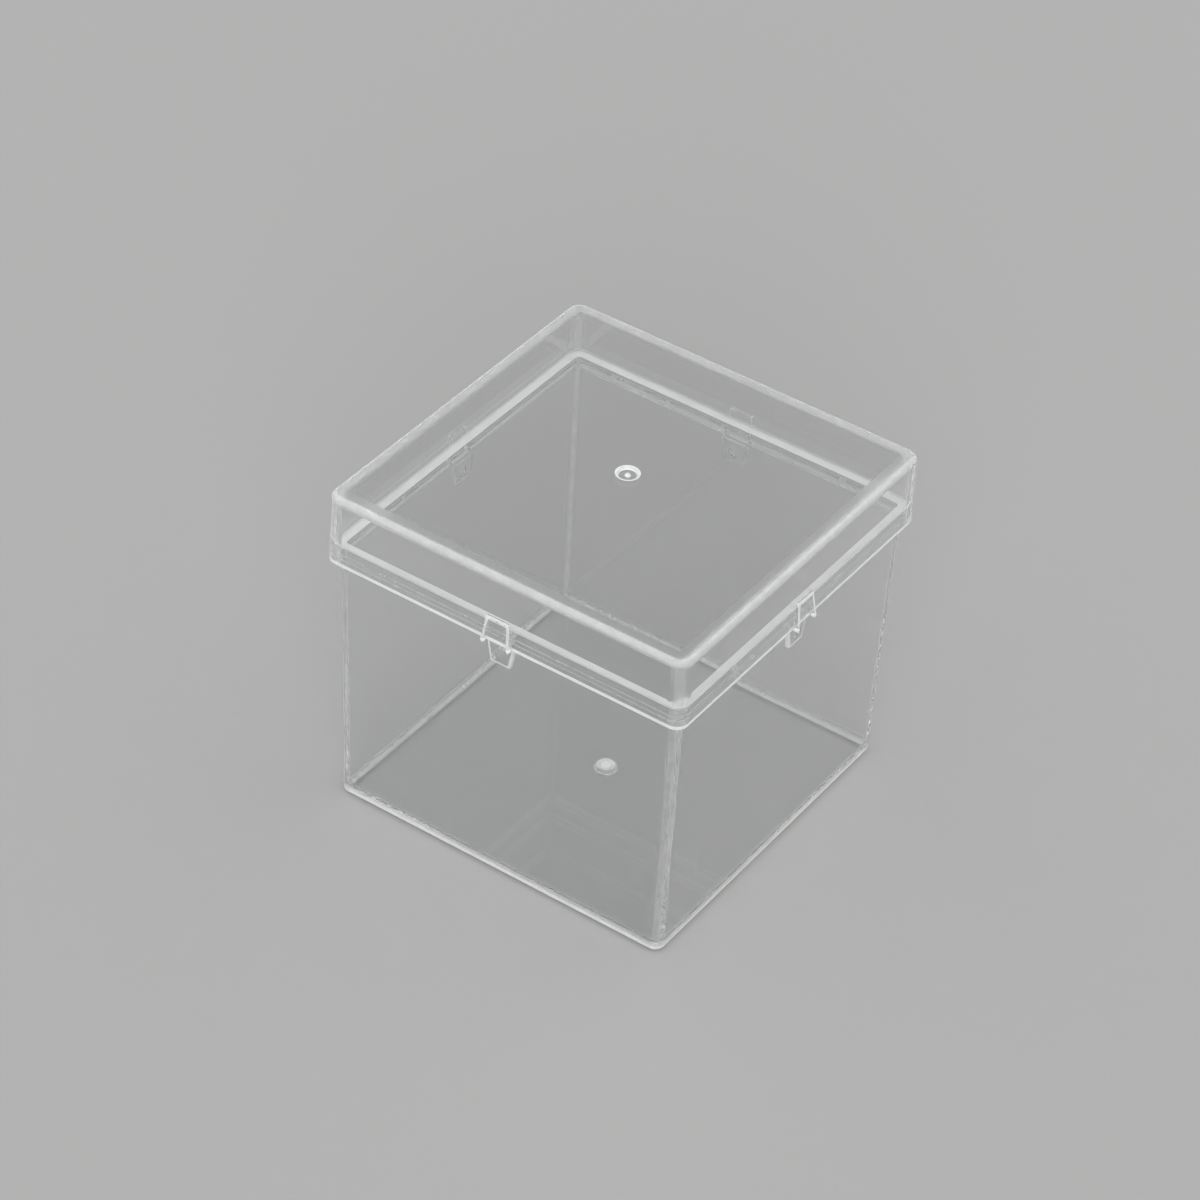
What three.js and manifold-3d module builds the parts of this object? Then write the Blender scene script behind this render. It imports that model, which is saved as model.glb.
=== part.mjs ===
// A clear moulded box: a deep tapered tray and a deep lid that lifts straight off.
// Millimetres, +Z up, origin at the centre of the tray's underside.
import * as THREE from 'three';
import { mergeVertices } from 'three/addons/utils/BufferGeometryUtils.js';
import Module from 'manifold-3d';

const wasm = await Module();
wasm.setup();

// Tray: the open base
const RIM_SIDE = 95.9; // outer width of the wall at the rim, without its collar
const RIM_HEIGHT = 76.9; // underside to rim
const TRAY_WALL = 2.05;
const TRAY_FLOOR = 2.0;
const TRAY_DRAFT_DEG = 0.75; // the walls lean in towards the floor
const TRAY_CORNER_R = 2.8;
const FOOT_EDGE_R = 1.4; // rounded edge between wall and underside
const FLOOR_FILLET_R = 1.0; // inside, between wall and floor
const COLLAR_RISE = 0.4; // low band round the rim that the lid grips
const COLLAR_HEIGHT = 2.4;
const COLLAR_RAMP = 0.4; // height over which the collar fades into the wall
const RIM_EDGE_R = 0.2;

// Fit of the lid on the tray
const FIT_GAP = 0.3; // collar to skirt, all round
const SEAT_GAP = 0.3; // rim to the lid's shoulder
const SEAT_OVERLAP = 0.45; // how far the shoulder reaches over the rim

// Lid: the deep cap
const SKIRT_WALL = 1.35; // at the lower edge, under the shoulder
const SKIRT_OVERLAP = 5.2; // how far the skirt reaches below the rim
const HEADROOM = 11.8; // shoulder to the underside of the plate
const PLATE = 2.0;
const LID_DRAFT_DEG = 1.0; // the skirt leans in towards the plate
const LID_CORNER_R = 3.2;
const LID_TOP_EDGE_R = 1.2;
const CEILING_FILLET_R = 0.8;
const SKIRT_EDGE_R = 0.5; // lower outer edge

// Thumb catch on each side of the lid: an upside-down U of ribs, deepest at the skirt's edge
const CATCH_HEIGHT = 7.6;
const CATCH_TOP_WIDTH = 6.4;
const CATCH_FOOT_WIDTH = 7.9;
const CATCH_RIB = 0.95; // width of the two side ribs
const CATCH_BAR = 0.9; // height of the bar across the top
const CATCH_TOP_RISE = 0.6; // how far the bar stands off the skirt
const CATCH_FOOT_RISE = 1.45; // how far the ribs stand off at the skirt's edge
const CATCH_TIP_R = 0.45; // rounded lower tips of the ribs

// Stop lug on each side of the tray: a plain tapered boss under the catch
const LUG_GAP = 0.4; // below the skirt's edge
const LUG_HEIGHT = 6.2;
const LUG_TOP_WIDTH = 7.8;
const LUG_FOOT_WIDTH = 5.6;
const LUG_RISE = 0.95; // how far it stands off the wall at its top
const LUG_EDGE = 0.22; // chamfer round its face

// Gate well in the middle of the plate and of the underside, with the broken gate's nub
const GATE_WELL_D = 5.2;
const GATE_WELL_DEPTH = 0.7;
const GATE_NUB_D = 1.5;
const GATE_NUB_DROP = 0.15; // the nub stays this far inside the well

// Mesh detail
const ROOT = 0.6; // how far ribs and lugs run into the wall that carries them
const SHARPEST_CORNER_R = 0.6; // plan corners inside the shells are never sharper than this
const CORNER_STEPS = 7;
const EDGE_STEPS = 4;
const GATE_STEPS = 32;
const MERGE_DISTANCE = 1e-5;
const SIDES = 4;

const rad = THREE.MathUtils.degToRad;
const trayLean = Math.tan(rad(TRAY_DRAFT_DEG));
const lidLean = Math.tan(rad(LID_DRAFT_DEG));

// Heights that the two pieces share
const shoulderZ = RIM_HEIGHT + SEAT_GAP;
const ceilingZ = shoulderZ + HEADROOM;
const lidTopZ = ceilingZ + PLATE;
const skirtZ = RIM_HEIGHT - SKIRT_OVERLAP;

// Half-widths of the flat walls, from the middle of the box
const trayHalf = (z) => RIM_SIDE / 2 - (RIM_HEIGHT - z) * trayLean;
const collarHalf = RIM_SIDE / 2 + COLLAR_RISE;
const skirtInnerHalf = collarHalf + FIT_GAP;
const lidInnerHalf = collarHalf - SEAT_OVERLAP;
const lidHalf = (z) => skirtInnerHalf + SKIRT_WALL - (z - skirtZ) * lidLean;

// Plan corner radii, each concentric with its neighbour across a wall or gap
const collarCornerR = TRAY_CORNER_R + COLLAR_RISE;
const trayInnerCornerR = Math.max(TRAY_CORNER_R - TRAY_WALL, SHARPEST_CORNER_R);
const skirtInnerCornerR = collarCornerR + FIT_GAP;
const lidInnerCornerR = collarCornerR - SEAT_OVERLAP;

// One level of a shell: a square of the given half-width with round corners, at height z
const level = (half, cornerR, z) => ({ half, cornerR, z });

// Levels round a quarter arc of the profile. The plan corner shrinks with the half-width.
function edgeLevels(centreHalf, centreZ, edgeR, cornerR, fromDeg, toDeg) {
  const levels = [];
  for (let i = 0; i <= EDGE_STEPS; i += 1) {
    const angle = rad(THREE.MathUtils.lerp(fromDeg, toDeg, i / EDGE_STEPS));
    const out = edgeR * Math.cos(angle);
    const planR = Math.max(cornerR - edgeR + out, SHARPEST_CORNER_R);
    levels.push(level(centreHalf + out, planR, centreZ + edgeR * Math.sin(angle)));
  }
  return levels;
}


// Points of one level, anticlockwise from above
function levelPoints({ half, cornerR, z }) {
  const points = [];
  for (let side = 0; side < SIDES; side += 1) {
    const turn = (side * Math.PI) / 2;
    const centre = new THREE.Vector2(half - cornerR, half - cornerR).rotateAround(new THREE.Vector2(), turn);
    for (let i = 0; i <= CORNER_STEPS; i += 1) {
      const angle = turn + ((Math.PI / 2) * i) / CORNER_STEPS;
      points.push([centre.x + cornerR * Math.cos(angle), centre.y + cornerR * Math.sin(angle), z]);
    }
  }
  return points;
}

// A shell lofted through its levels, from the cap that faces down to the cap that faces up
function loftShell(levels) {
  const rings = levels.map(levelPoints);
  const count = rings[0].length;
  const positions = rings.flat(2);
  const index = [];
  for (let r = 0; r + 1 < rings.length; r += 1) {
    for (let i = 0; i < count; i += 1) {
      const a = r * count + i;
      const b = r * count + ((i + 1) % count);
      index.push(a, b, b + count, a, b + count, a + count);
    }
  }
  const last = (rings.length - 1) * count;
  for (let i = 1; i + 1 < count; i += 1) {
    index.push(0, i + 1, i);
    index.push(last, last + i, last + i + 1);
  }
  const geometry = new THREE.BufferGeometry();
  geometry.setAttribute('position', new THREE.Float32BufferAttribute(positions, 3));
  geometry.setIndex(index);
  return geometry;
}

// A closed solid from a geometry, without the empty triangles that a revolve leaves on its axis
function solidOf(geometry) {
  const bare = geometry.clone();
  bare.deleteAttribute('normal');
  bare.deleteAttribute('uv');
  const merged = mergeVertices(bare, MERGE_DISTANCE);
  const triangles = [];
  for (let i = 0; i < merged.index.count; i += 3) {
    const [a, b, c] = merged.index.array.slice(i, i + 3);
    if (a !== b && b !== c && c !== a) triangles.push(a, b, c);
  }
  return new wasm.Manifold(new wasm.Mesh({
    numProp: 3,
    vertProperties: new Float32Array(merged.attributes.position.array),
    triVerts: new Uint32Array(triangles),
  }));
}

function meshOf(name, solid, material) {
  const { vertProperties, triVerts } = solid.getMesh();
  const geometry = new THREE.BufferGeometry();
  geometry.setAttribute('position', new THREE.BufferAttribute(vertProperties, 3));
  geometry.setIndex(new THREE.BufferAttribute(triVerts, 1));
  geometry.computeVertexNormals();
  const mesh = new THREE.Mesh(geometry, material);
  mesh.name = name;
  return mesh;
}

// A front-view outline (x across the side, y up) drawn out from the +X wall, from one depth to another
function outFromWall(shape, fromX, toX, bevel = 0) {
  const geometry = new THREE.ExtrudeGeometry(shape, {
    depth: toX - fromX - bevel,
    bevelEnabled: bevel > 0,
    bevelThickness: bevel,
    bevelSize: bevel,
    bevelOffset: -bevel,
    bevelSegments: 1,
  });
  const across = new THREE.Vector3(0, 1, 0);
  const upright = new THREE.Vector3(0, 0, 1);
  const outward = new THREE.Vector3(1, 0, 0);
  geometry.applyMatrix4(new THREE.Matrix4().makeBasis(across, upright, outward));
  geometry.translate(fromX, 0, 0);
  return geometry;
}

// A side-view profile (x out of the wall, y up) drawn out across the +X side
function acrossSide(shape, width) {
  const geometry = new THREE.ExtrudeGeometry(shape, { depth: width, bevelEnabled: false });
  geometry.translate(0, 0, -width / 2);
  geometry.rotateX(Math.PI / 2);
  return geometry;
}

// Adds one feature, modelled on the +X side, to each of the four sides
function addToEachSide(body, geometry) {
  let joined = body;
  for (let side = 0; side < SIDES; side += 1) {
    joined = joined.add(solidOf(geometry.clone().rotateZ((side * Math.PI) / 2)));
  }
  return joined;
}

// The ring-shaped well left round the gate: cut down from the flat at z = 0, with the nub in its middle
function gateWell() {
  const wellR = GATE_WELL_D / 2;
  const nubR = GATE_NUB_D / 2;
  const profile = [
    new THREE.Vector2(0, -GATE_NUB_DROP),
    new THREE.Vector2(nubR / 2, -GATE_NUB_DROP),
    new THREE.Vector2(nubR, -GATE_WELL_DEPTH),
    new THREE.Vector2(wellR - GATE_NUB_DROP, -GATE_WELL_DEPTH),
    new THREE.Vector2(wellR, GATE_WELL_DEPTH),
    new THREE.Vector2(0, GATE_WELL_DEPTH),
  ];
  return new THREE.LatheGeometry(profile, GATE_STEPS).rotateX(Math.PI / 2);
}

// Tray
function trayShell() {
  const inner = (z) => trayHalf(z) - TRAY_WALL;
  const rimInner = inner(RIM_HEIGHT);
  const footHalf = trayHalf(FOOT_EDGE_R);
  const collarZ = RIM_HEIGHT - COLLAR_HEIGHT;
  const floorFilletZ = TRAY_FLOOR + FLOOR_FILLET_R;
  const floorHalf = inner(floorFilletZ);
  return loftShell([
    ...edgeLevels(footHalf - FOOT_EDGE_R, FOOT_EDGE_R, FOOT_EDGE_R, TRAY_CORNER_R, -90, 0),
    level(trayHalf(collarZ - COLLAR_RAMP), TRAY_CORNER_R, collarZ - COLLAR_RAMP),
    level(collarHalf, collarCornerR, collarZ),
    ...edgeLevels(collarHalf - RIM_EDGE_R, RIM_HEIGHT - RIM_EDGE_R, RIM_EDGE_R, collarCornerR, 0, 90),
    level(rimInner + RIM_EDGE_R, trayInnerCornerR + RIM_EDGE_R, RIM_HEIGHT),
    level(rimInner, trayInnerCornerR, RIM_HEIGHT - RIM_EDGE_R),
    ...edgeLevels(floorHalf - FLOOR_FILLET_R, floorFilletZ, FLOOR_FILLET_R, trayInnerCornerR, 0, -90),
  ]);
}

function stopLug() {
  const topZ = skirtZ - LUG_GAP;
  const footZ = topZ - LUG_HEIGHT;
  const outline = new THREE.Shape([
    new THREE.Vector2(-LUG_FOOT_WIDTH / 2, footZ),
    new THREE.Vector2(LUG_FOOT_WIDTH / 2, footZ),
    new THREE.Vector2(LUG_TOP_WIDTH / 2, topZ),
    new THREE.Vector2(-LUG_TOP_WIDTH / 2, topZ),
  ]);
  return outFromWall(outline, trayHalf(footZ) - ROOT, trayHalf(topZ) + LUG_RISE, LUG_EDGE);
}

function makeTray() {
  const gate = solidOf(gateWell().rotateX(Math.PI));
  return addToEachSide(solidOf(trayShell()), stopLug()).subtract(gate);
}

// Lid
function lidShell() {
  const ceilingHalf = lidInnerHalf - CEILING_FILLET_R;
  const topHalf = lidHalf(lidTopZ - LID_TOP_EDGE_R);
  const skirtEdgeHalf = lidHalf(skirtZ + SKIRT_EDGE_R);
  return loftShell([
    ...edgeLevels(ceilingHalf, ceilingZ - CEILING_FILLET_R, CEILING_FILLET_R, lidInnerCornerR, 90, 0),
    level(lidInnerHalf, lidInnerCornerR, shoulderZ),
    level(skirtInnerHalf, skirtInnerCornerR, shoulderZ),
    level(skirtInnerHalf, skirtInnerCornerR, skirtZ),
    ...edgeLevels(skirtEdgeHalf - SKIRT_EDGE_R, skirtZ + SKIRT_EDGE_R, SKIRT_EDGE_R, LID_CORNER_R, -90, 0),
    ...edgeLevels(topHalf - LID_TOP_EDGE_R, lidTopZ - LID_TOP_EDGE_R, LID_TOP_EDGE_R, LID_CORNER_R, 0, 90),
  ]);
}

// The catch is its U-shaped front outline, cut back to its tapered side profile
function thumbCatch() {
  const topZ = skirtZ + CATCH_HEIGHT;
  const barZ = topZ - CATCH_BAR;
  const topX = lidHalf(topZ) + CATCH_TOP_RISE;
  const footX = lidHalf(skirtZ) + CATCH_FOOT_RISE;
  const rootX = lidHalf(topZ) - ROOT;
  const halfAt = (z) => THREE.MathUtils.mapLinear(z, skirtZ, topZ, CATCH_FOOT_WIDTH / 2, CATCH_TOP_WIDTH / 2);
  const front = new THREE.Shape([
    new THREE.Vector2(-halfAt(skirtZ), skirtZ),
    new THREE.Vector2(-halfAt(skirtZ) + CATCH_RIB, skirtZ),
    new THREE.Vector2(-halfAt(barZ) + CATCH_RIB, barZ),
    new THREE.Vector2(halfAt(barZ) - CATCH_RIB, barZ),
    new THREE.Vector2(halfAt(skirtZ) - CATCH_RIB, skirtZ),
    new THREE.Vector2(halfAt(skirtZ), skirtZ),
    new THREE.Vector2(halfAt(topZ), topZ),
    new THREE.Vector2(-halfAt(topZ), topZ),
  ]);
  const profile = new THREE.Shape();
  profile.moveTo(rootX, skirtZ);
  profile.lineTo(footX - CATCH_TIP_R, skirtZ);
  profile.absarc(footX - CATCH_TIP_R, skirtZ + CATCH_TIP_R, CATCH_TIP_R, -Math.PI / 2, 0);
  profile.lineTo(topX, topZ);
  profile.lineTo(rootX, topZ);
  return { front: outFromWall(front, rootX, footX), profile: acrossSide(profile, CATCH_FOOT_WIDTH) };
}

function makeLid() {
  const { front, profile } = thumbCatch();
  const gate = solidOf(gateWell().translate(0, 0, lidTopZ));
  let lid = solidOf(lidShell());
  for (let side = 0; side < SIDES; side += 1) {
    const turn = (side * Math.PI) / 2;
    const ribs = solidOf(front.clone().rotateZ(turn));
    lid = lid.add(ribs.intersect(solidOf(profile.clone().rotateZ(turn))));
  }
  return lid.subtract(gate);
}

// Clear styrene: almost colourless, glossy
const clearPlastic = () => new THREE.MeshStandardMaterial({
  color: 0xf3f5f6,
  roughness: 0.06,
  metalness: 0,
  transparent: true,
  opacity: 0.3,
});

const box = new THREE.Group();
box.add(meshOf('tray', makeTray(), clearPlastic()));
box.add(meshOf('lid', makeLid(), clearPlastic()));

export default box;
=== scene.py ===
"""Looks of the clear moulded box: fine shells for the tray and the lid, clear plastic, a pale studio."""
import math
from collections import namedtuple

import bmesh
import bpy
from mathutils import Matrix, Quaternion, Vector


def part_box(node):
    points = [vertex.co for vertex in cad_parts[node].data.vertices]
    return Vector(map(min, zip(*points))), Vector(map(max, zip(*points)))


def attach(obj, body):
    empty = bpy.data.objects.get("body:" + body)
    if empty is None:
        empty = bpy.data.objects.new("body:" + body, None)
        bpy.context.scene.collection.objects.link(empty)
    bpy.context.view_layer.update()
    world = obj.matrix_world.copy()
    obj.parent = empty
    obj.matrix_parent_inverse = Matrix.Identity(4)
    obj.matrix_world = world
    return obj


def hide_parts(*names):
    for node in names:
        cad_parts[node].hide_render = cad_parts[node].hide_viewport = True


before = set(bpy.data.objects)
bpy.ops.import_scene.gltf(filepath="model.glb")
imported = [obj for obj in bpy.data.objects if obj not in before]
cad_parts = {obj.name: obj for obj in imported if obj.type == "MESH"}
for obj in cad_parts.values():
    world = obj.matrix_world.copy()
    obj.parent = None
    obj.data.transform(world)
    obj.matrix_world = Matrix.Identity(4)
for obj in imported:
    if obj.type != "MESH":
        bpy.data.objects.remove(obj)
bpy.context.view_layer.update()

# Sizes of the box are in millimetres; meshes are scaled to metres when they are made
MM = 0.001
tray_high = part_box("tray")[1] / MM
lid_low, lid_high = (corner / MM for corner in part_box("lid"))

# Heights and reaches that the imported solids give
RIM_Z = tray_high.z
SKIRT_Z = lid_low.z
LID_TOP_Z = lid_high.z
LUG_REACH = tray_high.x
CATCH_REACH = lid_high.x

# Tray
RIM_SIDE = 95.9
TRAY_WALL = 2.05
TRAY_FLOOR = 2.0
TRAY_DRAFT = math.tan(math.radians(0.75))
TRAY_CORNER_R = 2.8
FOOT_EDGE_R = 1.4
# Top of the white lip band round the foot: a painted highlight for the bright line along the bottom edges
FOOT_HIGHLIGHT_Z = 1.9
FOOT_HAZE_Z = 3.0
FLOOR_FILLET_R = 1.0
COLLAR_RISE = 0.4
COLLAR_HEIGHT = 2.4
COLLAR_RAMP = 0.4
COLLAR_LINE = 0.35
PARTING_DROP = 3.9
PARTING_LINE = 0.3
RIM_EDGE_R = 0.2

# Fit of the lid on the tray
FIT_GAP = 0.3
SEAT_GAP = 0.3
SEAT_OVERLAP = 0.45
COLLAR_HALF = RIM_SIDE / 2 + COLLAR_RISE
COLLAR_CORNER_R = TRAY_CORNER_R + COLLAR_RISE
SKIRT_INNER_HALF = COLLAR_HALF + FIT_GAP
SKIRT_INNER_CORNER_R = COLLAR_CORNER_R + FIT_GAP

# Lid
SKIRT_WALL = 1.35
PLATE = 2.0
LID_DRAFT = math.tan(math.radians(1.0))
LID_CORNER_R = 3.2
LID_TOP_EDGE_R = 1.2
PLATE_BORDER = 2.5
CEILING_FILLET_R = 0.8
SKIRT_EDGE_R = 0.5
SKIRT_LIP = 1.25
SKIRT_INNER_EDGE_R = 0.15
SHOULDER_EDGE_R = 0.12

# Thumb catch on each side of the lid
CATCH_HEIGHT = 7.6
CATCH_TOP_WIDTH = 6.4
CATCH_FOOT_WIDTH = 7.9
CATCH_RIB = 0.65
CATCH_BAR = 0.55
CATCH_TOP_RISE = 0.6
CATCH_FOOT_LIFT = 0.04
CATCH_EDGE_R = 0.15
CATCH_BEAD_R = 0.66

# Stop lug on each side of the tray, with the sink mark in its face
LUG_GAP = 0.4
LUG_HEIGHT = 6.2
LUG_TOP_WIDTH = 7.8
LUG_FOOT_WIDTH = 5.6
LUG_EDGE_R = 0.3
# Width of the pale border round the lug's face, a painted highlight along its edges
LUG_HIGHLIGHT_BORDER = 0.4
LUG_TOP_Z = SKIRT_Z - LUG_GAP
LUG_FOOT_Z = LUG_TOP_Z - LUG_HEIGHT
SINK_D = 3.4
SINK_DEPTH = 0.3
SINK_HEIGHT_SHARE = 0.48

# Gate well in the middle of the plate and of the underside, with its nub and the ring round it
GATE_WELL_D = 5.2
GATE_WELL_DEPTH = 0.7
GATE_RING = 0.45
GATE_RING_DROP = 0.03
GATE_NUB_D = 1.5
GATE_NUB_DROP = 0.15

# Round of the well's floor: (in from the wall, up from the floor)
WELL_ROUND = [(0.5, 0.0), (0.25, 0.08), (0.12, 0.25)]

# Round of the nub's tip: (share of the nub's radius, drop from the tip), and the flare at its foot
NUB_ROUND = [(0.0, 0.0), (0.35, 0.03), (0.6, 0.12)]
NUB_FLARE_SHARE = 0.8
NUB_FLARE_RISE = 0.1

# Milky spot on the tray's floor above the gate
BLUSH_D = 4.6
BLUSH_CORE_D = 2.6
BLUSH_DEPTH = 0.05

# Pale strip up the middle of each upright inner corner: a painted highlight for the bright line along each
# upright corner
CORNER_HIGHLIGHT_STRIP = 1.6

# How far lugs and catches reach into their wall, and the reach of the sink's cutter over the sink's own
ROOT_DEPTH = 0.6
SINK_OVERCUT = 1.2

# Mesh detail
SIDES = 4
SHARPEST_CORNER_R = 0.6
CORNER_STEPS = 16
EDGE_STEPS = 10
SMALL_EDGE_STEPS = 4
LATHE_STEPS = 64
BEAD_STEPS = 20
ROUND_BEVEL = 0.5
SHARP_ANGLE = math.radians(35)

# Material slots of both meshes: INSIDE is CLEAR again, for the inner walls with the pale strips of painted
# highlight
CLEAR, CORNER, HAZE, EDGE, RIB, LIP, SATIN, SCAR, BORDER, INSIDE = range(10)

# Clear styrene
STYRENE_IOR = 1.58
CLEAR_TINT = (0.96, 0.966, 0.964, 1)
TRAY_SEED = 0.0
LID_SEED = 9.0

# Finishes of the slots from CORNER to BORDER: haze adds to the roughness in places, and milk is the
# share of the light that is scattered. On the edge, rib and lip finishes the milk is partly the real scatter
# of moulded edges and partly a painted highlight: it is set high so that these narrow surfaces render as
# bright white lines.
Finish = namedtuple("Finish", "name roughness haze milk")
SKINS = [
    Finish("moulded_corner", 0.12, 0.06, 0.04),
    Finish("foot_haze", 0.40, 0.10, 0.22),
    # The milk of the next three finishes, for edges, ribs and lips, is partly a painted highlight
    Finish("edge_frost_and_painted_highlight", 0.08, 0.05, 0.30),
    Finish("rib_frost_and_painted_highlight", 0.20, 0.10, 0.60),
    Finish("lip_frost_and_painted_highlight", 0.50, 0.10, 0.80),
    Finish("rim_satin", 0.30, 0.10, 0.87),
    Finish("gate_scar", 0.30, 0.20, 0.70),
    Finish("plate_border", 0.30, 0.04, 0.02),
]

# Detail of the finishes: scales are per metre, a seed over its divisors is a shift along X, Y and Z, and
# a span of the noise is stretched to a range of values
SEED_DIVISORS = (1, 3, 7)
NOISE_ROUGHNESS = 0.6
HAZE_SCALE = 90.0
HAZE_DETAIL = 4.0
SCUFF_SCALE = 260.0
SCUFF_DETAIL = 3.0
SKIN_SPAN = (0.3, 0.7)
MILK_SHARES = (0.85, 1.15)

# Detail of the clear flats, in the same way, with the waves' depth in metres and a turn in radians
WAVE_SCALE = 22.0
WAVE_DETAIL = 1.0
WAVE_DEPTH = 0.000004
SMUDGE_SCALE = 45.0
SMUDGE_DETAIL = 5.0
SMUDGE_SPAN = (0.45, 0.8)
SMUDGE_ROUGHNESS = (0.0, 0.05)
HAIRLINE_TURN = (0.5, 0.9, 0.4)
HAIRLINE_STRETCH = (14.0, 900.0, 900.0)
HAIRLINE_DETAIL = 2.0
HAIRLINE_SPAN = (0.70, 0.76)
HAIRLINE_ROUGHNESS = (0.0, 0.10)
DUST_SCALE = 120.0
DUST_SPAN = (0.012, 0.02)
DUST_TRANSMISSION = (0.2, 1.0)

# Camera of the photograph, in metres, with its lens and sensor in millimetres
CAMERA_AT = Vector((0.41096, -0.64552, 0.67181))
CAMERA_AIM = Vector((-0.00870, 0.00504, 0.0455))
CAMERA_ROLL = math.radians(3.597)
CAMERA_LENS = 124.45
CAMERA_SENSOR = 36
CAMERA_NEAREST = 0.01

# Floor, in metres
FLOOR_SIZE = 12.0
FLOOR_DROP = 0.0001
FLOOR_COLOUR = (0.44, 0.44, 0.438, 1)
FLOOR_ROUGHNESS = 0.9

# Dome: brightness by height, from the horizon to the cap, and a darker gap opposite the camera
HORIZON_LEVEL = 0.44
DOME_LEVEL = 0.92
DOME_FROM, DOME_FULL = 0.2, 0.45
CAP_FROM, CAP_FULL = 0.66, 0.85
CAP_SHARE = 1.25
GAP_FROM, GAP_FULL = 0.88, 0.96
GAP_SHARE = 0.3

# Fill from the camera's side
FILL_ELEVATION = math.radians(25)
FILL_SPREAD = math.radians(40)
FILL_LEVEL = 0.96

# Times that light may bounce, which is often between the walls of a clear box
LIGHT_BOUNCES = 160

# One ring of a shell: its half-width, corner radius and height, and the slot of the faces to the next ring
Level = namedtuple("Level", "half corner_r z slot")


def lid_half(z):
    """Half-width of the lid's outer wall at a height."""
    return SKIRT_INNER_HALF + SKIRT_WALL - (z - SKIRT_Z) * LID_DRAFT


def tray_half(z):
    """Half-width of the tray's outer wall at a height."""
    return RIM_SIDE / 2 - (RIM_Z - z) * TRAY_DRAFT


def arc_levels(half, z, edge_r, corner_r, turn, steps=EDGE_STEPS, slot=EDGE, next_slot=CLEAR):
    """Levels round an arc about (half, z), over a turn in degrees; next_slot is for the face that follows.

    The corner of the plan follows the half-width.
    """
    start, end = (math.radians(degrees) for degrees in turn)
    levels = []
    for i in range(steps + 1):
        angle = start + (end - start) * i / steps
        out = edge_r * math.cos(angle)
        up = edge_r * math.sin(angle)
        plan_r = max(corner_r - edge_r + out, SHARPEST_CORNER_R)
        levels.append(Level(half + out, plan_r, z + up, slot if i < steps else next_slot))
    return levels


def ring_points(level):
    """Points of a square with round corners, anticlockwise from above."""
    points = []
    centre = level.half - level.corner_r
    for side in range(SIDES):
        turn = Matrix.Rotation(side * math.pi / 2, 3, "Z")
        for i in range(CORNER_STEPS + 1):
            angle = math.pi / 2 * i / CORNER_STEPS
            x = centre + level.corner_r * math.cos(angle)
            y = centre + level.corner_r * math.sin(angle)
            points.append(turn @ Vector((x, y, level.z)))
    return points


def plan_slot(level, step):
    """Slot of a face of a ring by its step along the round corner and the side that follows it."""
    if step == CORNER_STEPS or level.slot not in (CLEAR, INSIDE):
        return level.slot
    steps_off = abs(step + 0.5 - CORNER_STEPS / 2)
    from_middle = steps_off / CORNER_STEPS * level.corner_r * math.pi / 2
    # The strip of edge finish in the middle of an inner corner is a painted highlight
    return EDGE if level.slot == INSIDE and from_middle < CORNER_HIGHLIGHT_STRIP / 2 else CORNER


def loft(levels):
    """A closed shell through its levels, from the cap that faces down to the cap that faces up."""
    bm = bmesh.new()
    rings = [[bm.verts.new(point) for point in ring_points(level)] for level in levels]
    count = len(rings[0])
    for level, lower, upper in zip(levels, rings, rings[1:]):
        for i in range(count):
            j = (i + 1) % count
            face = bm.faces.new((lower[i], lower[j], upper[j], upper[i]))
            face.material_index = plan_slot(level, i % (CORNER_STEPS + 1))
    bm.faces.new(reversed(rings[0]))
    bm.faces.new(rings[-1])
    return bm


def prism(outline, back_x, front_x, front_slot, flank_slot):
    """A prism from an outline of (across, up) points: its back is upright, its front follows front_x(up)."""
    bm = bmesh.new()
    back = [bm.verts.new((back_x, across, up)) for across, up in outline]
    front = [bm.verts.new((front_x(up), across, up)) for across, up in outline]
    count = len(outline)
    for i in range(count):
        j = (i + 1) % count
        bm.faces.new((back[i], back[j], front[j], front[i])).material_index = flank_slot
    bm.faces.new(reversed(back))
    bm.faces.new(front).material_index = front_slot
    return bm, set(back)


def round_edges(bm, edge_r, keep):
    """Rounds every edge except those between the kept vertices."""
    edges = [edge for edge in bm.edges if not set(edge.verts) <= keep]
    bmesh.ops.bevel(bm, geom=edges, offset=edge_r, segments=SMALL_EDGE_STEPS, profile=ROUND_BEVEL,
                    affect="EDGES", clamp_overlap=True, material=RIB)


def lathe(profile, steps=LATHE_STEPS):
    """A closed body turned round +Z from (radius, up, slot of the next face) points, from axis to axis."""
    bm = bmesh.new()
    rings = []
    for radius, up, _ in profile:
        if radius == 0:
            rings.append([bm.verts.new((0, 0, up))] * steps)
            continue
        angles = (2 * math.pi * i / steps for i in range(steps))
        rings.append([bm.verts.new((radius * math.cos(a), radius * math.sin(a), up)) for a in angles])
    for (_, _, slot), lower, upper in zip(profile, rings, rings[1:]):
        for i in range(steps):
            j = (i + 1) % steps
            corners = dict.fromkeys((lower[i], lower[j], upper[j], upper[i]))
            bm.faces.new(list(corners)).material_index = slot
    return bm


def piece_of(name, bm, materials):
    """An object in the scene from a mesh in millimetres."""
    bmesh.ops.recalc_face_normals(bm, faces=bm.faces)
    bm.transform(Matrix.Scale(MM, 4))
    mesh = bpy.data.meshes.new(name)
    bm.to_mesh(mesh)
    bm.free()
    for material in materials:
        mesh.materials.append(material)
    piece = bpy.data.objects.new(name, mesh)
    bpy.context.scene.collection.objects.link(piece)
    return piece


def apply_modifiers(piece):
    """Makes the piece's mesh what its modifiers show."""
    bpy.context.view_layer.update()
    shown = piece.evaluated_get(bpy.context.evaluated_depsgraph_get())
    old = piece.data
    piece.data = bpy.data.meshes.new_from_object(shown)
    piece.modifiers.clear()
    bpy.data.meshes.remove(old)


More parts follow.
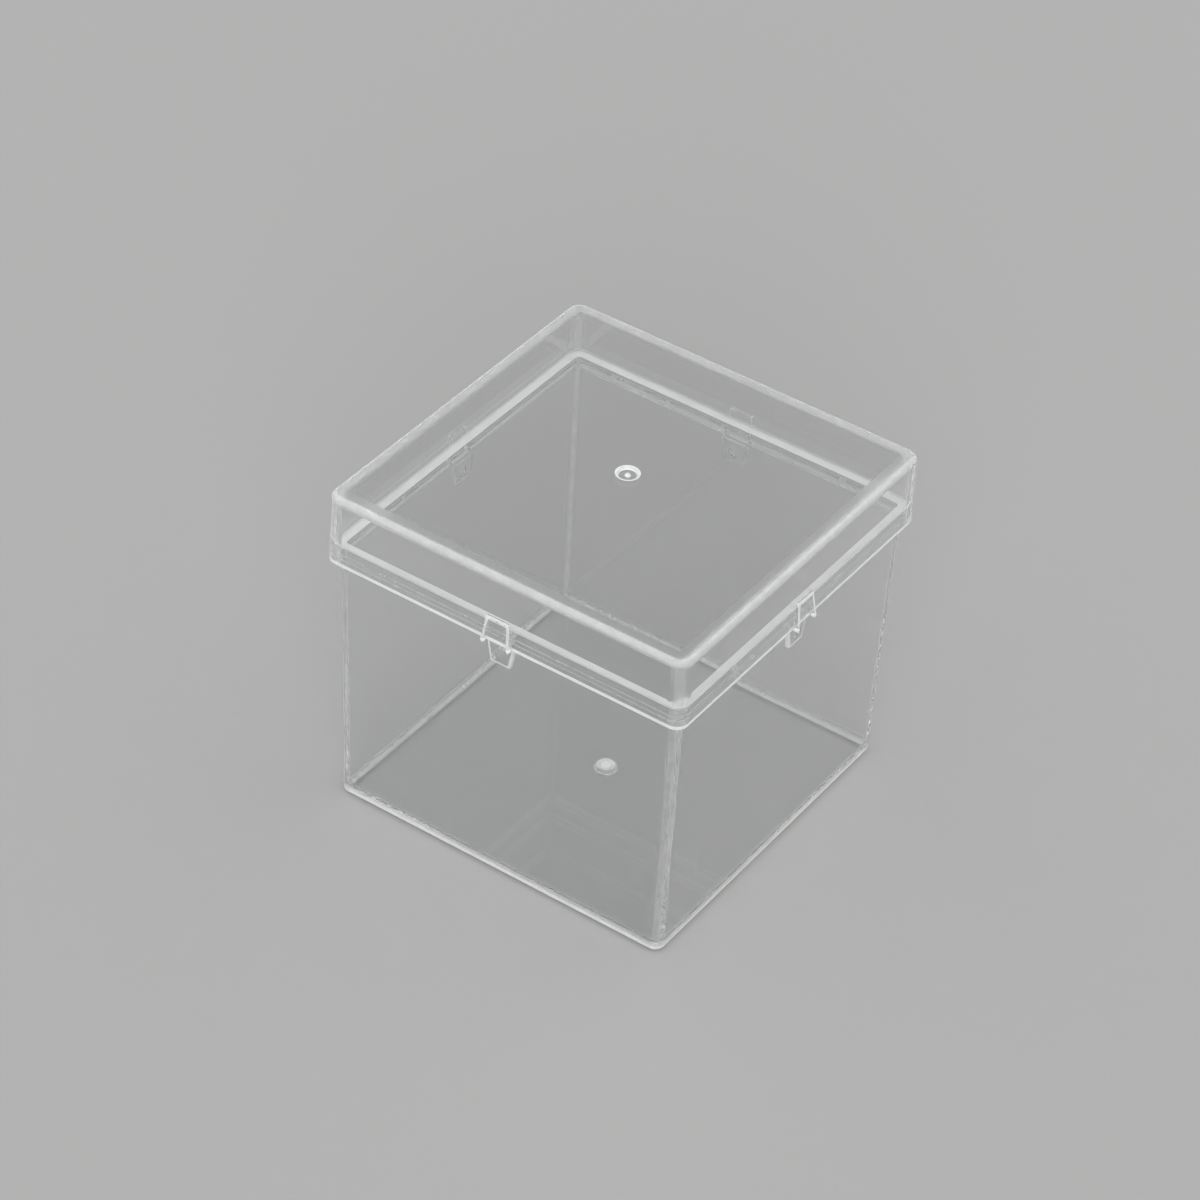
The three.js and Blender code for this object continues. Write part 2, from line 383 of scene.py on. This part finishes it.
def combine(piece, bm, operation):
    """Joins a body to the piece, or cuts it away."""
    tool = piece_of(piece.name + "_tool", bm, piece.data.materials)
    modifier = piece.modifiers.new(operation, "BOOLEAN")
    modifier.operation = operation
    modifier.solver = "EXACT"
    modifier.object = tool
    apply_modifiers(piece)
    bpy.data.objects.remove(tool)


def on_each_side(make):
    """One mesh with a body made on the +X side and turned to all four sides."""
    joined = bmesh.new()
    for side in range(SIDES):
        bm = make()
        bm.transform(Matrix.Rotation(side * math.pi / 2, 4, "Z"))
        turned = bpy.data.meshes.new("turned")
        bm.to_mesh(turned)
        bm.free()
        joined.from_mesh(turned)
        bpy.data.meshes.remove(turned)
    return joined


def settle_normals(piece):
    """Smooth fillets beside flats that stay flat."""
    piece.data.shade_smooth()
    piece.data.set_sharp_from_angle(angle=SHARP_ANGLE)
    modifier = piece.modifiers.new("weighted", "WEIGHTED_NORMAL")
    modifier.keep_sharp = True
    apply_modifiers(piece)


def gate_well(floor_slot):
    """The well round the gate with its nub, cut down from a flat at height 0."""
    well_r = GATE_WELL_D / 2
    ring_r = well_r + GATE_RING
    nub_r = GATE_NUB_D / 2
    floor_z = -GATE_WELL_DEPTH
    return lathe([
        *[(nub_r * share, -GATE_NUB_DROP - drop, SCAR) for share, drop in NUB_ROUND],
        (nub_r * NUB_FLARE_SHARE, floor_z + NUB_FLARE_RISE, SCAR),
        (nub_r, floor_z, floor_slot),
        *[(well_r - inward, floor_z + rise, RIB) for inward, rise in WELL_ROUND],
        (well_r, -GATE_RING_DROP, LIP),
        (ring_r, -GATE_RING_DROP, LIP),
        (ring_r, GATE_WELL_DEPTH, RIB),
        (0, GATE_WELL_DEPTH, RIB),
    ])


def gate_blush():
    """The milky spot that the hot gate leaves on the floor above it, as a very shallow dish."""
    core_r = BLUSH_CORE_D / 2
    blush_r = BLUSH_D / 2
    bm = lathe([
        (0, -BLUSH_DEPTH, LIP),
        (core_r, -BLUSH_DEPTH, RIB),
        (blush_r, 0, RIB),
        (blush_r + core_r, BLUSH_DEPTH, RIB),
        (0, BLUSH_DEPTH, RIB),
    ])
    bm.transform(Matrix.Translation((0, 0, TRAY_FLOOR)))
    return bm


def outer_wall_levels():
    """Levels up the tray's outer wall: its hazy foot, the thin parting line and the ramp to the collar."""
    parting_z = RIM_Z - PARTING_DROP
    ramp_z = RIM_Z - COLLAR_HEIGHT - COLLAR_RAMP
    bands = [
        # The white lip band below this height is a painted highlight along the foot
        (FOOT_HIGHLIGHT_Z, HAZE),
        (FOOT_HAZE_Z, CLEAR),
        (parting_z - PARTING_LINE, RIB),
        (parting_z, CLEAR),
    ]
    levels = [Level(tray_half(z), TRAY_CORNER_R, z, slot) for z, slot in bands]
    for i in range(EDGE_STEPS + 1):
        share = i / EDGE_STEPS
        rise = (1 - math.cos(math.pi * share)) / 2
        half = tray_half(ramp_z) + (COLLAR_HALF - tray_half(ramp_z)) * rise
        levels.append(Level(half, TRAY_CORNER_R + COLLAR_RISE * rise, ramp_z + COLLAR_RAMP * share, RIB))
    levels.append(Level(COLLAR_HALF, COLLAR_CORNER_R, ramp_z + COLLAR_RAMP + COLLAR_LINE, CLEAR))
    return levels


def tray_levels():
    """Levels of the tray, from the underside up the outer wall, over the rim and down to the floor."""
    fillet_z = TRAY_FLOOR + FLOOR_FILLET_R
    rim_z = RIM_Z - RIM_EDGE_R
    foot_half = tray_half(FOOT_EDGE_R) - FOOT_EDGE_R
    rim_inner_half = tray_half(RIM_Z) - TRAY_WALL + RIM_EDGE_R
    fillet_half = tray_half(fillet_z) - TRAY_WALL - FLOOR_FILLET_R
    inner_corner_r = max(TRAY_CORNER_R - TRAY_WALL, SHARPEST_CORNER_R)
    rim_inner_r = inner_corner_r + 2 * RIM_EDGE_R
    return [
        *arc_levels(foot_half, FOOT_EDGE_R, FOOT_EDGE_R, TRAY_CORNER_R, (-90, 0), EDGE_STEPS, LIP, LIP),
        *outer_wall_levels(),
        *arc_levels(COLLAR_HALF - RIM_EDGE_R, rim_z, RIM_EDGE_R, COLLAR_CORNER_R, (0, 90),
                    SMALL_EDGE_STEPS, SATIN, SATIN),
        *arc_levels(rim_inner_half, rim_z, RIM_EDGE_R, rim_inner_r, (90, 180),
                    SMALL_EDGE_STEPS, SATIN, INSIDE),
        *arc_levels(fillet_half, fillet_z, FLOOR_FILLET_R, inner_corner_r, (0, -90)),
    ]


def lug():
    """The stop lug on the +X side, with a pale border round its clear face, which is a painted highlight
    along the lug's edges.
    """
    outline = [
        (-LUG_FOOT_WIDTH / 2, LUG_FOOT_Z),
        (LUG_FOOT_WIDTH / 2, LUG_FOOT_Z),
        (LUG_TOP_WIDTH / 2, LUG_TOP_Z),
        (-LUG_TOP_WIDTH / 2, LUG_TOP_Z),
    ]
    bm, back = prism(outline, tray_half(LUG_FOOT_Z) - ROOT_DEPTH, lambda up: LUG_REACH, CLEAR, RIB)
    round_edges(bm, LUG_EDGE_R, back)
    bm.normal_update()
    front = max(bm.faces, key=lambda face: face.calc_area() * face.normal.x)
    border = bmesh.ops.inset_region(bm, faces=[front], thickness=LUG_HIGHLIGHT_BORDER, use_even_offset=True)
    for strip in border["faces"]:
        strip.material_index = RIB
    return bm


def sink_mark():
    """A shallow round dish in the lug's face."""
    radius = SINK_D / 2
    sphere_r = (radius ** 2 + SINK_DEPTH ** 2) / (2 * SINK_DEPTH)
    reach = math.asin(radius / sphere_r) * SINK_OVERCUT
    angles = [reach * i / EDGE_STEPS for i in range(EDGE_STEPS + 1)]
    profile = [(sphere_r * math.sin(a), -SINK_DEPTH + sphere_r * (1 - math.cos(a)), CLEAR) for a in angles]
    profile.append((0, profile[-1][1], CLEAR))
    bm = lathe(profile)
    centre_z = LUG_TOP_Z - LUG_HEIGHT * (1 - SINK_HEIGHT_SHARE)
    bm.transform(Matrix.Rotation(math.pi / 2, 4, "Y"))
    bm.transform(Matrix.Translation((LUG_REACH, 0, centre_z)))
    return bm


def make_tray(materials):
    """The tray's shell with its lugs, sink marks, gate well and blush."""
    piece = piece_of("tray_shell", loft(tray_levels()), materials)
    combine(piece, on_each_side(lug), "UNION")
    combine(piece, on_each_side(sink_mark), "DIFFERENCE")
    well = gate_well(SCAR)
    well.transform(Matrix.Rotation(math.pi, 4, "X"))
    combine(piece, well, "DIFFERENCE")
    combine(piece, gate_blush(), "DIFFERENCE")
    settle_normals(piece)
    return piece


def lid_levels():
    """Levels of the lid, from the ceiling down the inside, round the skirt's edge and up to the plate."""
    inner_half = COLLAR_HALF - SEAT_OVERLAP
    inner_r = COLLAR_CORNER_R - SEAT_OVERLAP
    fillet_z = LID_TOP_Z - PLATE - CEILING_FILLET_R
    shoulder_z = RIM_Z + SEAT_GAP
    skirt_edge_z = SKIRT_Z + SKIRT_EDGE_R
    lip_z = SKIRT_Z + SKIRT_LIP
    top_z = LID_TOP_Z - LID_TOP_EDGE_R
    plate_half = lid_half(top_z) - LID_TOP_EDGE_R
    return [
        *arc_levels(inner_half - CEILING_FILLET_R, fillet_z, CEILING_FILLET_R, inner_r, (90, 0),
                    next_slot=INSIDE),
        *arc_levels(inner_half + SHOULDER_EDGE_R, shoulder_z + SHOULDER_EDGE_R, SHOULDER_EDGE_R,
                    inner_r + 2 * SHOULDER_EDGE_R, (180, 270), SMALL_EDGE_STEPS, SATIN, SATIN),
        Level(SKIRT_INNER_HALF, SKIRT_INNER_CORNER_R, shoulder_z, CLEAR),
        *arc_levels(SKIRT_INNER_HALF + SKIRT_INNER_EDGE_R, SKIRT_Z + SKIRT_INNER_EDGE_R,
                    SKIRT_INNER_EDGE_R, SKIRT_INNER_CORNER_R + 2 * SKIRT_INNER_EDGE_R, (180, 270),
                    SMALL_EDGE_STEPS, SATIN, SATIN),
        *arc_levels(lid_half(skirt_edge_z) - SKIRT_EDGE_R, skirt_edge_z, SKIRT_EDGE_R, LID_CORNER_R, (-90, 0),
                    EDGE_STEPS, LIP, LIP),
        Level(lid_half(lip_z), LID_CORNER_R, lip_z, CLEAR),
        *arc_levels(plate_half, top_z, LID_TOP_EDGE_R, LID_CORNER_R, (0, 90), next_slot=BORDER),
        Level(plate_half - PLATE_BORDER, SHARPEST_CORNER_R, LID_TOP_Z, CLEAR),
    ]


def catch_half(z):
    """Half of the catch's width at a height."""
    share = (z - SKIRT_Z) / CATCH_HEIGHT
    return (CATCH_FOOT_WIDTH + (CATCH_TOP_WIDTH - CATCH_FOOT_WIDTH) * share) / 2


def catch():
    """An upside-down U of ribs that stands further off the skirt towards its edge."""
    foot_z = SKIRT_Z + CATCH_FOOT_LIFT
    top_z = SKIRT_Z + CATCH_HEIGHT
    bar_z = top_z - CATCH_BAR
    top_x = lid_half(top_z) + CATCH_TOP_RISE

    def front_x(z):
        """How far out the front of the ribs is at a height."""
        return CATCH_REACH + (top_x - CATCH_REACH) * (z - SKIRT_Z) / CATCH_HEIGHT

    outline = [
        (-catch_half(foot_z), foot_z),
        (-catch_half(foot_z) + CATCH_RIB, foot_z),
        (-catch_half(bar_z) + CATCH_RIB, bar_z),
        (catch_half(bar_z) - CATCH_RIB, bar_z),
        (catch_half(foot_z) - CATCH_RIB, foot_z),
        (catch_half(foot_z), foot_z),
        (catch_half(top_z), top_z),
        (-catch_half(top_z), top_z),
    ]
    bm, back = prism(outline, lid_half(top_z) - ROOT_DEPTH, front_x, RIB, CLEAR)
    round_edges(bm, CATCH_EDGE_R, back)
    return bm


def catch_bead(side):
    """A round bead at the foot of a rib, on the catch's -Y side for -1 and its +Y side for 1."""
    angles = [math.pi * i / BEAD_STEPS for i in range(1, BEAD_STEPS)]
    bm = lathe([
        (0, -CATCH_BEAD_R, LIP),
        *[(CATCH_BEAD_R * math.sin(a), -CATCH_BEAD_R * math.cos(a), LIP) for a in angles],
        (0, CATCH_BEAD_R, LIP),
    ], BEAD_STEPS)
    centre_z = SKIRT_Z + CATCH_BEAD_R + CATCH_FOOT_LIFT
    across = side * (catch_half(centre_z) - CATCH_RIB / 2)
    bm.transform(Matrix.Translation((CATCH_REACH - CATCH_BEAD_R, across, centre_z)))
    return bm


def make_lid(materials):
    """The lid's shell with its catches, their beads and the gate well."""
    piece = piece_of("lid_shell", loft(lid_levels()), materials)
    combine(piece, on_each_side(catch), "UNION")
    for side in (-1, 1):
        combine(piece, on_each_side(lambda: catch_bead(side)), "UNION")
    well = gate_well(CLEAR)
    well.transform(Matrix.Translation((0, 0, LID_TOP_Z)))
    combine(piece, well, "DIFFERENCE")
    settle_normals(piece)
    return piece


def add_node(tree, kind, **values):
    """A shader node with some of its sockets set."""
    node = tree.nodes.new(kind)
    for name, value in values.items():
        node.inputs[name.replace("_", " ")].default_value = value
    return node


def ranged(tree, value, span, result):
    """A value taken from one span to another, held at the ends."""
    node = add_node(tree, "ShaderNodeMapRange",
                    From_Min=span[0], From_Max=span[1], To_Min=result[0], To_Max=result[1])
    tree.links.new(value, node.inputs["Value"])
    return node.outputs["Result"]


def maths(tree, operation, first, second):
    """Two values put together."""
    node = tree.nodes.new("ShaderNodeMath")
    node.operation = operation
    tree.links.new(first, node.inputs[0])
    tree.links.new(second, node.inputs[1])
    return node.outputs["Value"]


def placed(tree, seed, turn=(0, 0, 0), stretch=(1, 1, 1)):
    """The piece's own coordinates in metres, shifted by a seed, turned and stretched."""
    coords = tree.nodes.new("ShaderNodeTexCoord")
    shift = [seed / divisor for divisor in SEED_DIVISORS]
    place = add_node(tree, "ShaderNodeMapping", Location=shift, Rotation=turn, Scale=stretch)
    tree.links.new(coords.outputs["Object"], place.inputs["Vector"])
    return place.outputs["Vector"]


def noise(tree, place, detail, scale=1.0):
    """Soft noise at a place."""
    node = add_node(tree, "ShaderNodeTexNoise", Scale=scale, Detail=detail, Roughness=NOISE_ROUGHNESS)
    tree.links.new(place, node.inputs["Vector"])
    return node.outputs["Fac"]


def bumped(tree, body, height, distance):
    """A bump of the given depth in metres on the surface."""
    bump = add_node(tree, "ShaderNodeBump", Strength=1.0, Distance=distance)
    tree.links.new(height, bump.inputs["Height"])
    tree.links.new(bump.outputs["Normal"], body.inputs["Normal"])


def styrene(name):
    """A material of plain clear styrene, with its node tree and its shader."""
    material = bpy.data.materials.new(name)
    material.use_nodes = True
    body = material.node_tree.nodes["Principled BSDF"]
    body.inputs["Base Color"].default_value = CLEAR_TINT
    body.inputs["IOR"].default_value = STYRENE_IOR
    body.inputs["Transmission Weight"].default_value = 1.0
    return material, material.node_tree, body


def polished(name, seed):
    """The clear flats: moulding waves, smudges, hairline scratches and a few specks of dust."""
    material, tree, body = styrene(name)
    place = placed(tree, seed)
    grease = noise(tree, place, SMUDGE_DETAIL, SMUDGE_SCALE)
    smudge = ranged(tree, grease, SMUDGE_SPAN, SMUDGE_ROUGHNESS)
    along = placed(tree, seed, HAIRLINE_TURN, HAIRLINE_STRETCH)
    hairline = ranged(tree, noise(tree, along, HAIRLINE_DETAIL), HAIRLINE_SPAN, HAIRLINE_ROUGHNESS)
    tree.links.new(maths(tree, "ADD", smudge, hairline), body.inputs["Roughness"])
    dust = add_node(tree, "ShaderNodeTexVoronoi", Scale=DUST_SCALE)
    tree.links.new(place, dust.inputs["Vector"])
    clean = ranged(tree, dust.outputs["Distance"], DUST_SPAN, DUST_TRANSMISSION)
    tree.links.new(clean, body.inputs["Transmission Weight"])
    bumped(tree, body, noise(tree, place, WAVE_DETAIL, WAVE_SCALE), WAVE_DEPTH)
    return material


def skin(finish, seed):
    """The narrow moulded surfaces, which scatter a share of the light; on the edges, ribs and lips that share
    is partly a painted highlight. Scuffs make that share uneven.
    """
    material, tree, body = styrene(finish.name)
    place = placed(tree, seed)
    haze = noise(tree, place, HAZE_DETAIL, HAZE_SCALE)
    roughness = ranged(tree, haze, SKIN_SPAN, (finish.roughness, finish.roughness + finish.haze))
    tree.links.new(roughness, body.inputs["Roughness"])
    scuff = noise(tree, place, SCUFF_DETAIL, SCUFF_SCALE)
    transmission = ranged(tree, scuff, SKIN_SPAN, [1 - share * finish.milk for share in MILK_SHARES])
    tree.links.new(transmission, body.inputs["Transmission Weight"])
    return material


def floor_paper():
    """Plain pale studio paper without any gloss."""
    material = bpy.data.materials.new("floor_paper")
    material.use_nodes = True
    paper = material.node_tree.nodes["Principled BSDF"]
    paper.inputs["Base Color"].default_value = FLOOR_COLOUR
    paper.inputs["Roughness"].default_value = FLOOR_ROUGHNESS
    paper.inputs["Specular IOR Level"].default_value = 0.0
    return material


def front_fill():
    """A wide soft light from the camera's side, which brightens the upright faces and shows in no flat."""
    lamp = bpy.data.lights.new("front_fill", "SUN")
    lamp.angle = FILL_SPREAD
    lamp.energy = FILL_LEVEL
    fill = bpy.data.objects.new("front_fill", lamp)
    level = Vector((CAMERA_AT.x, CAMERA_AT.y, 0)).normalized()
    way = level * math.cos(FILL_ELEVATION) + Vector((0, 0, math.sin(FILL_ELEVATION)))
    fill.rotation_mode = "QUATERNION"
    fill.rotation_quaternion = way.to_track_quat("Z", "Y")
    fill.visible_glossy = False
    fill.visible_transmission = False
    bpy.context.scene.collection.objects.link(fill)


def dome():
    """A soft white dome, pale at the horizon, with a darker gap where level faces mirror it to the camera."""
    world = bpy.data.worlds.new("studio")
    world.use_nodes = True
    tree = world.node_tree
    way = tree.nodes.new("ShaderNodeTexCoord").outputs["Generated"]
    parts = tree.nodes.new("ShaderNodeSeparateXYZ")
    tree.links.new(way, parts.inputs["Vector"])
    height = parts.outputs["Z"]
    toward = tree.nodes.new("ShaderNodeVectorMath")
    toward.operation = "DOT_PRODUCT"
    tree.links.new(way, toward.inputs[0])
    toward.inputs[1].default_value = Vector((-CAMERA_AT.x, -CAMERA_AT.y, CAMERA_AT.z)).normalized()
    walls = ranged(tree, height, (DOME_FROM, DOME_FULL), (HORIZON_LEVEL, DOME_LEVEL))
    cap = ranged(tree, height, (CAP_FROM, CAP_FULL), (1.0, CAP_SHARE))
    gap = ranged(tree, toward.outputs["Value"], (GAP_FROM, GAP_FULL), (1.0, GAP_SHARE))
    light = maths(tree, "MULTIPLY", maths(tree, "MULTIPLY", walls, cap), gap)
    tree.links.new(light, tree.nodes["Background"].inputs["Color"])
    bpy.context.scene.world = world


def studio():
    """The floor, the fill and the dome."""
    bm = bmesh.new()
    bmesh.ops.create_grid(bm, x_segments=1, y_segments=1, size=FLOOR_SIZE / 2 / MM)
    floor = piece_of("floor", bm, [floor_paper()])
    floor.location.z = -FLOOR_DROP
    front_fill()
    dome()


def camera():
    """The camera of the photograph."""
    data = bpy.data.cameras.new("camera")
    data.lens = CAMERA_LENS
    data.sensor_width = CAMERA_SENSOR
    data.clip_start = CAMERA_NEAREST
    view = bpy.data.objects.new("camera", data)
    view.location = CAMERA_AT
    view.rotation_mode = "QUATERNION"
    aim = (CAMERA_AIM - CAMERA_AT).to_track_quat("-Z", "Y")
    view.rotation_quaternion = aim @ Quaternion((0, 0, 1), CAMERA_ROLL)
    bpy.context.scene.collection.objects.link(view)
    bpy.context.scene.camera = view


def light_paths():
    """Lets light through all the clear walls, sharp and without grain."""
    cycles = bpy.context.scene.cycles
    cycles.max_bounces = LIGHT_BOUNCES
    cycles.transmission_bounces = LIGHT_BOUNCES
    cycles.glossy_bounces = LIGHT_BOUNCES
    cycles.blur_glossy = 0.0
    cycles.use_denoising = True


skins = [skin(finish, seed) for seed, finish in enumerate(SKINS, 1)]
tray_clear = polished("tray_clear", TRAY_SEED)
tray = make_tray([tray_clear, *skins, tray_clear])
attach(tray, "tray")
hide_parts("tray")
lid_clear = polished("lid_clear", LID_SEED)
lid = make_lid([lid_clear, *skins, lid_clear])
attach(lid, "lid")
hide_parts("lid")

studio()
camera()
light_paths()
bpy.context.scene.view_settings.view_transform = "Standard"
